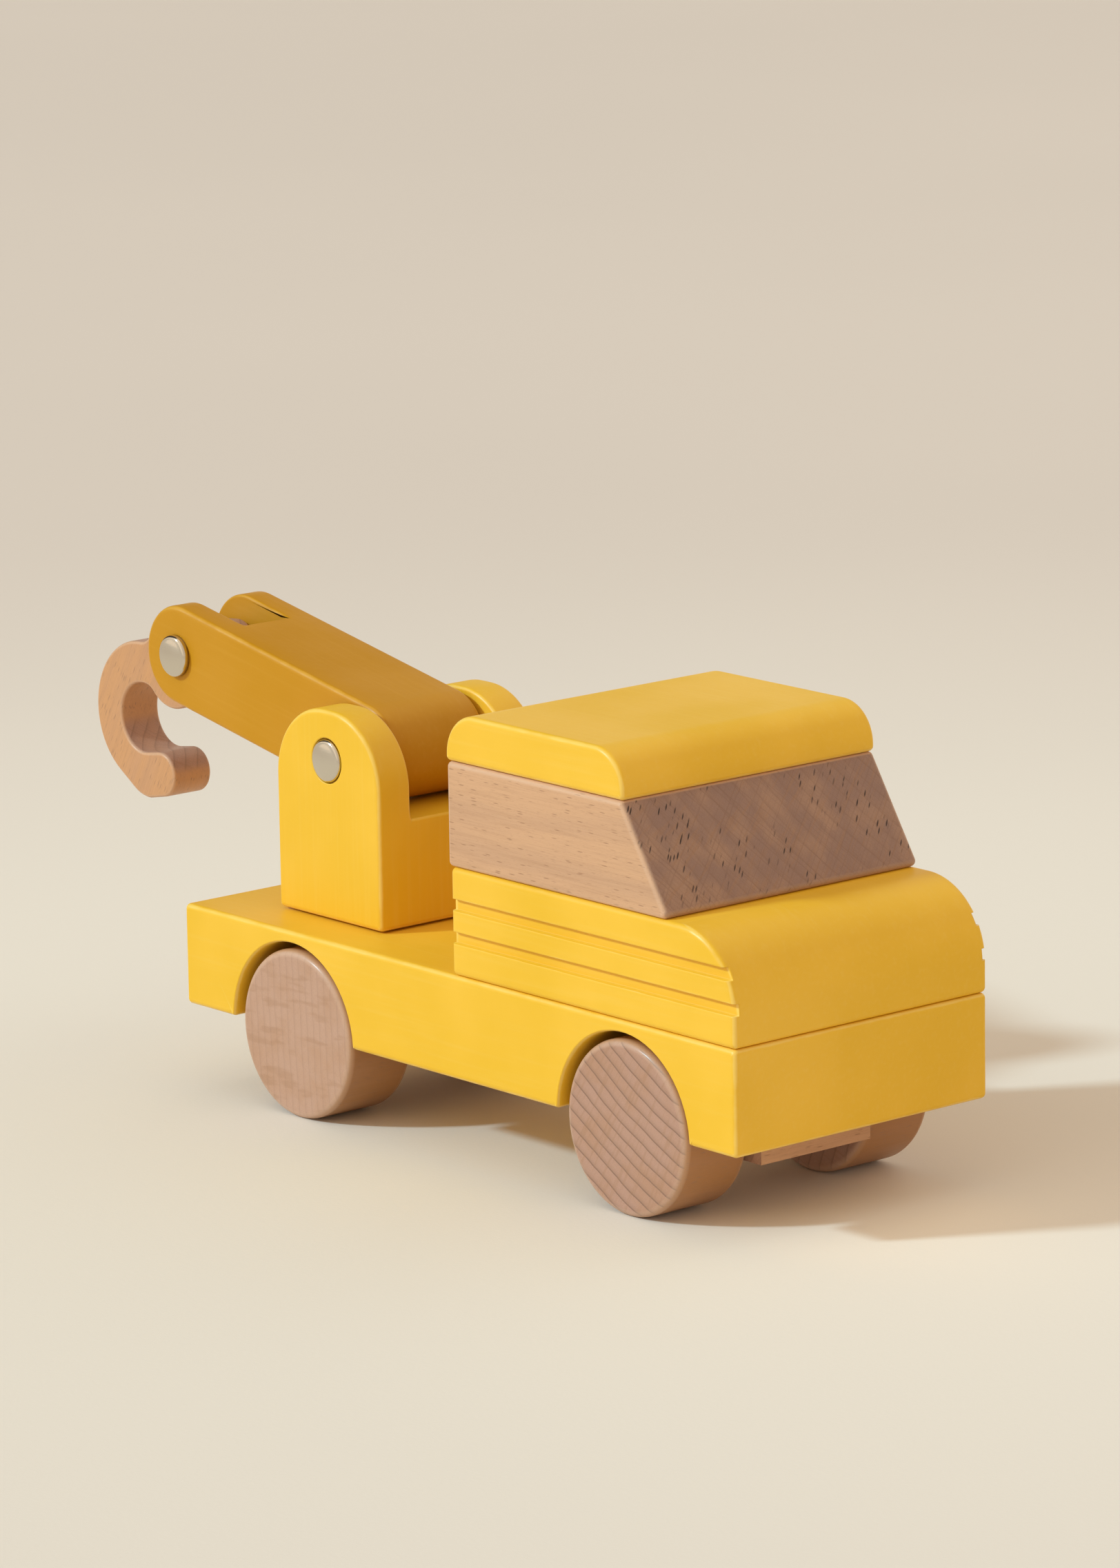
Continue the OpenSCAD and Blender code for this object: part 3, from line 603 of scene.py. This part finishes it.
def beech(name, turn_grain=(0.0, 0.0, 0.0), shift=(0.0, 0.0, 0.0), ring_centre=(0.0, 150.0, 60.0),
          ring_spacing=2.6, ring_strength=0.5, saw_marks=0.3, checks=0.0, gloss=0.0, wood=BEECH,
          end_wood=BEECH_END):
    """Bare beech. turn_grain turns the piece so that its grain runs along X; shift picks another part of the
    tree; the ring numbers are in millimetres; gloss lays varnish over it."""
    material, tree, shader = new_material(name)
    coords = add_node(tree, "TexCoord").outputs
    where = add_node(tree, "Mapping", {"Vector": coords["Object"], "Rotation": turn_grain,
                                       "Scale": (1000.0,) * 3, "Location": shift}).outputs[0]
    faces = add_node(tree, "Mapping", {"Vector": coords["Normal"], "Rotation": turn_grain},
                     vector_type="NORMAL").outputs[0]
    across = sums(tree, "ABSOLUTE", add_node(tree, "SeparateXYZ", {0: faces}).outputs["X"])
    grain = add_node(tree, "Group", node_tree=beech_group)
    tree.links.new(where, grain.inputs["Vector"])
    tree.links.new(ramp(tree, across, 0.55, 0.85), grain.inputs["End"])
    tree.links.new(add_node(tree, "Attribute", attribute_name="edge").outputs["Fac"], grain.inputs["Edge"])
    for socket, value in (("Wood", rgba(wood)), ("Fleck", rgba(BEECH_FLECK)), ("End Wood", rgba(end_wood)),
                          ("Ring", rgba(BEECH_RING)), ("Ring Centre", ring_centre),
                          ("Ring Spacing", ring_spacing), ("Ring Strength", ring_strength),
                          ("Saw Marks", saw_marks), ("Checks", checks)):
        grain.inputs[socket].default_value = value
    relief = add_node(tree, "Bump", {"Height": grain.outputs["Height"], "Strength": 0.5,
                                     "Distance": 0.00010})
    tree.links.new(grain.outputs["Color"], shader.inputs["Base Color"])
    tree.links.new(grain.outputs["Roughness"], shader.inputs["Roughness"])
    tree.links.new(relief.outputs[0], shader.inputs["Normal"])
    shader.inputs["Specular IOR Level"].default_value = 0.35
    shader.inputs["Coat Weight"].default_value = gloss
    shader.inputs["Coat Roughness"].default_value = 0.22
    return material


window_beech = beech("window_beech", turn_grain=(0.12, 0.0, 0.0), ring_centre=(0.0, 90.0, 160.0),
                     ring_spacing=3.4, ring_strength=0.35, saw_marks=1.0, checks=1.0, end_wood=WINDSCREEN_END)
low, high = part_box("window_block")
slope = np.arctan2(high[2] - low[2], WINDOW_LEAN)
window_rollers = [(low[0] + EDGE, low[2] + EDGE, EDGE),
                  (high[0] - EDGE / np.tan(slope / 2), low[2] + EDGE, EDGE),
                  (high[0] - WINDOW_LEAN - EDGE * np.tan(slope / 2), high[2] - EDGE, EDGE),
                  (low[0] + EDGE, high[2] - EDGE, EDGE)]
window_rings, window_edge = slab_rings(belt(window_rollers), rim_profile(high[1], EDGE))
window = ring_surface("window_block_beech", window_rings, window_beech, window_edge)
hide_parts("window_block")
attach(window, "truck")

# ---------------------------------------------------------------------------------------------
# Roof: a thin painted block, glued and dowelled on top, with its long front and rear edges rounded over.
ROOF_ROUND = 9.0 * MM

low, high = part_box("roof_block")
roof_rollers = [(low[0] + EDGE, low[2] + EDGE, EDGE), (high[0] - EDGE, low[2] + EDGE, EDGE),
                (high[0] - ROOF_ROUND, high[2] - ROOF_ROUND, ROOF_ROUND),
                (low[0] + ROOF_ROUND, high[2] - ROOF_ROUND, ROOF_ROUND)]
roof_rings, roof_edge = slab_rings(belt(roof_rollers, np.radians(4.0)), rim_profile(high[1], EDGE))
roof = ring_surface("roof_block_rounded", roof_rings, yellow_paint, roof_edge)
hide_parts("roof_block")
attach(roof, "truck")

# ---------------------------------------------------------------------------------------------
# Dowels and axle blocks: plain beech. The dowels are hidden in the glued stack; an axle block fills each
# arch between the wheels and carries the steel axle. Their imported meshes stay, in bare beech.
hidden_beech = beech("dowel_beech", turn_grain=(0.0, np.pi / 2, 0.0))
block_beech = beech("axle_block_beech", turn_grain=(0.0, 0.0, np.pi / 2), shift=(31.0, 12.0, 5.0),
                    ring_centre=(0.0, -70.0, 120.0), ring_strength=0.6, saw_marks=0.4)
for node, finish in (("hood_dowels", hidden_beech), ("window_dowels", hidden_beech),
                     ("roof_dowels", hidden_beech), ("front_axle_block", block_beech),
                     ("rear_axle_block", block_beech)):
    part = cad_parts[node]
    part.data.materials.clear()
    part.data.materials.append(finish)

# ---------------------------------------------------------------------------------------------
# Wheels: discs cut from beech rod, so the faces are end grain. Each is turned with a small round at its
# rim, bored part way and pressed on its axle, and dipped in clear varnish that glints on the rim.
WHEEL_ROUND = 1.7 * MM
WHEEL_FACE_DIP = 0.05 * MM
WHEEL_STEPS = 128


def wheel_rings(node, side):
    """A wheel turned about its axle: each point (radius, depth) of its section goes round in a ring."""
    low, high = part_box(node)
    centre_x, centre_z = (low[0] + high[0]) / 2, (low[2] + high[2]) / 2
    radius, width = (high[0] - low[0]) / 2, high[1] - low[1]
    turned = np.radians(np.linspace(0.0, 90.0, 10))
    rim = np.stack([radius - WHEEL_ROUND * (1 - np.sin(turned)), WHEEL_ROUND * (1 - np.cos(turned))], -1)
    face = np.array([(0.4 * MM, WHEEL_FACE_DIP), (0.5 * radius, WHEEL_FACE_DIP),
                     (0.86 * radius, 0.3 * WHEEL_FACE_DIP), (radius - WHEEL_ROUND - LAND, 0.0)])
    section = np.concatenate([face, rim, [(radius, WHEEL_ROUND + LAND)]])
    section = np.concatenate([section, section[::-1] * (1, -1) + (0, width)])
    about = np.linspace(0.0, 2.0 * np.pi, WHEEL_STEPS + 1)[:-1] * side
    outer = high[1] if side > 0 else low[1]
    r, d = section[:, :1], section[:, 1:]
    rings = np.stack([centre_x + r * np.cos(about), outer - side * d + 0 * about,
                      centre_z + r * np.sin(about)], -1)
    soft = np.concatenate([np.zeros(4), np.sin(2 * turned), [0.0]])
    edge = np.concatenate([soft, soft[::-1]])[:, None] * np.ones(WHEEL_STEPS)
    return rings, edge


WHEEL_WOOD = (0.42, 0.195, 0.07)
WHEEL_GRAIN = {
    "wheel_front_right": dict(ring_centre=(0.0, 166.0, 150.0), ring_spacing=2.9, ring_strength=1.0),
    "wheel_rear_right": dict(ring_centre=(0.0, 420.0, 40.0), ring_spacing=2.2, ring_strength=0.22,
                             end_wood=(0.52, 0.31, 0.215)),
    "wheel_front_left": dict(ring_centre=(0.0, -60.0, 70.0), ring_spacing=3.1, ring_strength=0.6),
    "wheel_rear_left": dict(ring_centre=(0.0, 40.0, -50.0), ring_spacing=2.8, ring_strength=0.5),
}
for number, (node, grain) in enumerate(WHEEL_GRAIN.items()):
    side = 1 if node.endswith("left") else -1
    finish = beech(node + "_beech", turn_grain=(0.0, 0.0, np.pi / 2), shift=(9.0 * number, 0.0, 0.0),
                   saw_marks=0.12, gloss=0.25, wood=WHEEL_WOOD, **grain)
    rings, edge = wheel_rings(node, side)
    wheel = ring_surface(node + "_turned", rings, finish, edge)
    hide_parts(node)
    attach(wheel, "front_wheels" if "front" in node else "rear_wheels")

# ---------------------------------------------------------------------------------------------
# Tower: one painted block with a slot sawn down between two round-topped ears. It stands on a hidden
# steel pin and turns on the deck, with a hairline of shadow under it.
TOWER_ROUND = 16.5 * MM
SLOT_EASE = 0.9 * MM
SLOT_HALF = 14.4 * MM
SLOT_FLOOR = 24.5 * MM
FILL = 1.0 * MM
RECESS_RADIUS = 5.1 * MM
RECESS_DEPTH = 1.1 * MM
RECESS_LIP = 0.2 * MM


def middle_of(node):
    """The middle of a node's box."""
    return (np.array(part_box(node)[0]) + np.array(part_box(node)[1])) / 2


tower_low, tower_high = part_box("tower")
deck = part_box("chassis")[1][2]
floor_z = deck + SLOT_FLOOR
tower_outline = belt([(tower_low[0] + EDGE, tower_low[2] + EDGE, EDGE),
                      (tower_high[0] - EDGE, tower_low[2] + EDGE, EDGE),
                      (tower_high[0] - TOWER_ROUND, tower_high[2] - TOWER_ROUND, TOWER_ROUND),
                      (tower_low[0] + TOWER_ROUND, tower_high[2] - TOWER_ROUND, TOWER_ROUND)],
                     np.radians(4.0), FILL)


def cut_down(points, level, low_x, high_x, ease):
    """An outline whose points above level are put on the line that the cut leaves: a quarter round at each
    end of a flat run, spaced by their order."""
    above = points[:, 1] > level - ease
    order = np.cumsum(above) - 1
    share = order / max(order.max(), 1)
    turn_share = 0.2
    first = np.clip(share / turn_share, 0, 1) * np.pi / 2
    last = np.clip((1 - share) / turn_share, 0, 1) * np.pi / 2
    run = np.clip((share - turn_share) / (1 - 2 * turn_share), 0, 1)
    x = np.where(share < 0.5, high_x - ease + ease * np.cos(first) - run * (high_x - low_x - 2 * ease),
                 low_x + ease - ease * np.cos(last) + (1 - run) * (high_x - low_x - 2 * ease))
    z = level - ease + ease * np.sin(np.minimum(first, last))
    return np.where(above[:, None], np.stack([x, z], -1), points)


def forked_rings(outline, cut_points, cut_half, half, ease, edge_radius, near_cut, recess=None):
    """A slab whose middle is cut away: outside |y| = cut_half the rings follow the outline, inside it they
    follow cut_points. near_cut, 0 to 1, fades the easing of the inner edge where no edge is left. recess
    (x, z, radius, depth, lip) sinks a round counterbore in both outer faces: each outline point goes straight
    towards its axis."""
    points, sharp = outline[0], outline[2]
    rim = rim_profile(half, edge_radius)
    outer = rim[len(rim) // 2 + 1:]
    inner_turn = RIM_ANGLES[::-1]
    inner = np.stack([ease * (1 - np.cos(inner_turn)), cut_half + ease - ease * np.sin(inner_turn),
                      np.sin(2 * inner_turn)], -1)
    rows, edges = [], []

    def row(inset, y, edge, base, scale):
        flat = moved_in(outline, inset * scale, base)
        rows.append(np.stack([flat[:, 0], np.full(len(flat), y), flat[:, 1]], -1))
        edges.append(np.maximum(edge * scale, sharp))

    whole = np.ones(len(points))
    row(0.0, 0.0, 0.0, cut_points, whole)
    row(0.0, cut_half - LAND, 0.0, cut_points, whole)
    row(0.0, cut_half, 0.0, cut_points, whole)
    for inset, y, edge in inner:
        row(inset, y, edge, points, near_cut)
    for inset, y, edge in outer:
        row(inset, y, edge, points, whole)
    if recess:
        axis, (radius, depth, lip) = np.array(recess[:2]), recess[2:]
        towards = (points - axis) / np.hypot(*(points - axis).T)[:, None]
        for r, sunk, edge in ((radius + lip + LAND, 0.0, 0.0), (radius + lip, 0.0, 0.4),
                              (radius + 0.3 * lip, 0.3 * lip, 1.0), (radius, lip, 0.4),
                              (radius, depth - LAND, 0.0), (radius, depth, 0.0),
                              (radius - LAND, depth, 0.0)):
            flat = axis + r * towards
            rows.append(np.stack([flat[:, 0], np.full(len(flat), half - sunk), flat[:, 1]], -1))
            edges.append(np.full(len(flat), edge))
    left_rows, left_edges = np.array(rows), np.array(edges)
    right_rows = left_rows[:0:-1] * (1, -1, 1)
    rings = np.concatenate([right_rows, left_rows])
    edge = np.concatenate([left_edges[:0:-1], left_edges])
    return rings[::-1], edge[::-1]


cut_points = cut_down(tower_outline[0], floor_z, tower_low[0], tower_high[0], 0.6 * EDGE)
near_cut = np.clip((tower_outline[0][:, 1] - floor_z) / (2.5 * MM), 0.0, 1.0) ** 0.7
boom_pin = middle_of("boom_pin")
recess = (boom_pin[0], boom_pin[2], RECESS_RADIUS, RECESS_DEPTH, RECESS_LIP)
tower_rings, tower_edge = forked_rings(tower_outline, cut_points, SLOT_HALF, tower_high[1], SLOT_EASE,
                                       EDGE, near_cut, recess)
tower_paint = painted("tower_paint", YELLOW, YELLOW_THIN_AND_SHEEN, turn_grain=(0.0, np.pi / 2, 0.0))
tower = ring_surface("tower_forked", tower_rings, tower_paint, tower_edge)
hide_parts("tower")
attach(tower, "tower")

# ---------------------------------------------------------------------------------------------
# Boom: a bar with round ends in a deeper mustard paint. It pivots between the tower's ears, and its far
# end is slotted for the hook.
FORK_HALF = 6.3 * MM
FORK_DEPTH = 14.7 * MM
FORK_EASE = 0.8 * MM
MUSTARD = (0.57, 0.262, 0.014)
# Paler mustard for the ribs and the middle of eased edges: thin film there, and partly a painted highlight.
MUSTARD_THIN_AND_SHEEN = (0.72, 0.40, 0.07)

hook_pin = middle_of("hook_pin")
reach = np.hypot(hook_pin[0] - boom_pin[0], hook_pin[2] - boom_pin[2])
tilt = np.arctan2(hook_pin[2] - boom_pin[2], boom_pin[0] - hook_pin[0])
boom_low, boom_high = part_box("boom")
boom_r = boom_high[2] - hook_pin[2]
boom_outline = belt([(0.0, 0.0, boom_r), (-reach, 0.0, boom_r)], np.radians(5.0), FILL)
fork_root = -reach + FORK_DEPTH
behind = boom_outline[0] @ np.array([[0.0, -1.0], [1.0, 0.0]])
lowest = np.argmin(behind[:, 1])
turned = cut_down(np.roll(behind, -lowest, 0), -fork_root, -boom_r, boom_r, 0.3 * EDGE)
turned = np.roll(turned, lowest, 0) @ np.array([[0.0, 1.0], [-1.0, 0.0]])
near_cut = np.clip((fork_root - boom_outline[0][:, 0]) / (2.5 * MM), 0.0, 1.0) ** 0.7
boom_rings, boom_edge = forked_rings(boom_outline, turned, FORK_HALF, boom_high[1], FORK_EASE, EDGE,
                                     near_cut)
tilted = np.array([[np.cos(tilt), 0.0, -np.sin(tilt)], [0.0, 1.0, 0.0],
                   [np.sin(tilt), 0.0, np.cos(tilt)]])
boom_rings = boom_rings @ tilted + np.array([boom_pin[0], 0.0, boom_pin[2]])
mustard_paint = painted("mustard_paint", MUSTARD, MUSTARD_THIN_AND_SHEEN, turn_grain=(0.0, -tilt, 0.0), shine=0.22)
boom = ring_surface("boom_forked", boom_rings, mustard_paint, boom_edge)
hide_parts("boom")
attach(boom, "boom")

# ---------------------------------------------------------------------------------------------
# Hook: fretsawn from a beech board with the grain running up the hook, sanded soft at its edges and
# oiled. Its eye turns on the boom's end pin.
HOOK_EDGE = 0.8 * MM
HOOK_WOOD = (0.59, 0.295, 0.13)
EYE, KNEE = (0.0, 0.0, 6.0), (-12.7, -5.4, 10.0)
BOW, BELLY = (-24.2, -18.4, 17.1), (-22.5, -27.5, 10.34)
HEEL, TIP = (-22.8, -32.52, 5.32), (-17.6, -31.6, 5.2)
THROAT = (-23.75, -19.1, -8.1)
HOOK_FILLET = 4.0


def fillet(a, b, size, side):
    """A roller of radius size that bends the belt the other way and touches rollers a and b from outside;
    side picks which of the two places, left (+1) or right (-1) of the line from a to b."""
    ra, rb = abs(a[2] + size), abs(b[2] + size)
    gap = np.array(b[:2]) - np.array(a[:2])
    reach = np.hypot(*gap)
    along = (ra ** 2 - rb ** 2 + reach ** 2) / (2 * reach)
    off = side * np.sqrt(ra ** 2 - along ** 2)
    unit = gap / reach
    place = np.array(a[:2]) + along * unit + off * np.array([-unit[1], unit[0]])
    return (*place, -size)


hook_rollers = np.array([EYE, KNEE, fillet(KNEE, BOW, HOOK_FILLET, -1), BOW, BELLY, HEEL, TIP, THROAT,
                         fillet(THROAT, KNEE, HOOK_FILLET, 1), KNEE]) * MM
hook_outline = belt(hook_rollers, np.radians(5.0))
hook_low, hook_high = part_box("hook")
hook_rings, hook_edge = slab_rings(hook_outline, rim_profile(hook_high[1], HOOK_EDGE))
hook_rings = hook_rings + np.array([hook_pin[0], 0.0, hook_pin[2]])
hook_beech = beech("hook_beech", turn_grain=(0.0, np.radians(62.0), 0.0), shift=(40.0, 7.0, 3.0),
                   ring_centre=(0.0, 60.0, 90.0), ring_spacing=3.0, saw_marks=0.25, gloss=0.1,
                   wood=HOOK_WOOD)
hook = ring_surface("hook_sanded", hook_rings, hook_beech, hook_edge)
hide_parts("hook")
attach(hook, "hook")

# ---------------------------------------------------------------------------------------------
# Steel: push-on caps pressed from bright sheet, domed a little, on 5 mm rod. The boom pin's caps sit in
# shallow counterbores whose walls show as a dark ring; the hook pin's caps stand proud of the boom.
STEEL = (0.66, 0.60, 0.50)
CAP_ROLL = 0.75 * MM
CAP_DOME = 0.45 * MM


def make_polish_group():
    """Polished sheet steel: fine rubbed scratches in two directions and a soft uneven haze."""
    group = bpy.data.node_groups.new("polished_steel", "ShaderNodeTree")
    group.interface.new_socket("Vector", in_out="INPUT", socket_type="NodeSocketVector")
    for name in ("Roughness", "Height"):
        group.interface.new_socket(name, in_out="OUTPUT", socket_type="NodeSocketFloat")
    given = add_node(group, "GroupInput").outputs["Vector"]
    rubs = []
    for stretch in ((4000.0, 60.0, 300.0), (200.0, 60.0, 3600.0)):
        lane = add_node(group, "VectorMath", {0: given, 1: stretch}, operation="MULTIPLY").outputs[0]
        rubs.append(add_node(group, "TexNoise", {"Vector": lane, "Scale": 1.0, "Detail": 2.0}).outputs["Fac"])
    haze = add_node(group, "TexNoise", {"Vector": given, "Scale": 420.0, "Detail": 3.0}).outputs["Fac"]
    rub = ramp(group, sums(group, "MAXIMUM", rubs[0], rubs[1]), 0.58, 0.78)
    rough = sums(group, "MULTIPLY_ADD", haze, 0.10, sums(group, "MULTIPLY_ADD", rub, 0.12, 0.07))
    out = add_node(group, "GroupOutput", {"Roughness": rough, "Height": sums(group, "MULTIPLY", rub, -0.5)})
    out.is_active_output = True
    return group


polish_group = make_polish_group()
steel, tree, shader = new_material("polished_steel")
polish = add_node(tree, "Group", node_tree=polish_group)
tree.links.new(add_node(tree, "TexCoord").outputs["Object"], polish.inputs["Vector"])
relief = add_node(tree, "Bump", {"Height": polish.outputs["Height"], "Strength": 0.2, "Distance": 0.00003})
tree.links.new(polish.outputs["Roughness"], shader.inputs["Roughness"])
tree.links.new(relief.outputs[0], shader.inputs["Normal"])
shader.inputs["Base Color"].default_value = rgba(STEEL)
shader.inputs["Metallic"].default_value = 1.0


def cap_rings(node, side):
    """A cap turned about its pin: a slight dome that rolls over into a short skirt."""
    low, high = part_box(node)
    centre_x, centre_z = (low[0] + high[0]) / 2, (low[2] + high[2]) / 2
    radius, height = (high[0] - low[0]) / 2, high[1] - low[1]
    rolled = np.radians(np.linspace(8.0, 90.0, 12))
    crown = np.linspace(0.05, 1.0, 8) * (radius - CAP_ROLL)
    dome = CAP_DOME * (crown / (radius - CAP_ROLL)) ** 2
    roll = np.stack([radius - CAP_ROLL + CAP_ROLL * np.sin(rolled),
                     CAP_DOME + CAP_ROLL - CAP_ROLL * np.cos(rolled)], -1)
    section = np.concatenate([np.stack([crown, dome], -1), roll, [(radius, height), (0.5 * MM, height)]])
    about = np.linspace(0.0, 2.0 * np.pi, 97)[:-1] * side
    outer = high[1] if side > 0 else low[1]
    r, d = section[:, :1], section[:, 1:]
    return np.stack([centre_x + r * np.cos(about), outer - side * d + 0 * about,
                     centre_z + r * np.sin(about)], -1)


for node, body in (("boom_pin_cap_left", "tower"), ("boom_pin_cap_right", "tower"),
                   ("hook_pin_cap_left", "boom"), ("hook_pin_cap_right", "boom")):
    cap = ring_surface(node + "_domed", cap_rings(node, 1 if node.endswith("left") else -1), steel)
    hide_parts(node)
    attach(cap, body)
for node in ("front_axle", "rear_axle", "swivel_pin", "swivel_cap", "boom_pin", "hook_pin"):
    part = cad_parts[node]
    part.data.materials.clear()
    part.data.materials.append(steel)
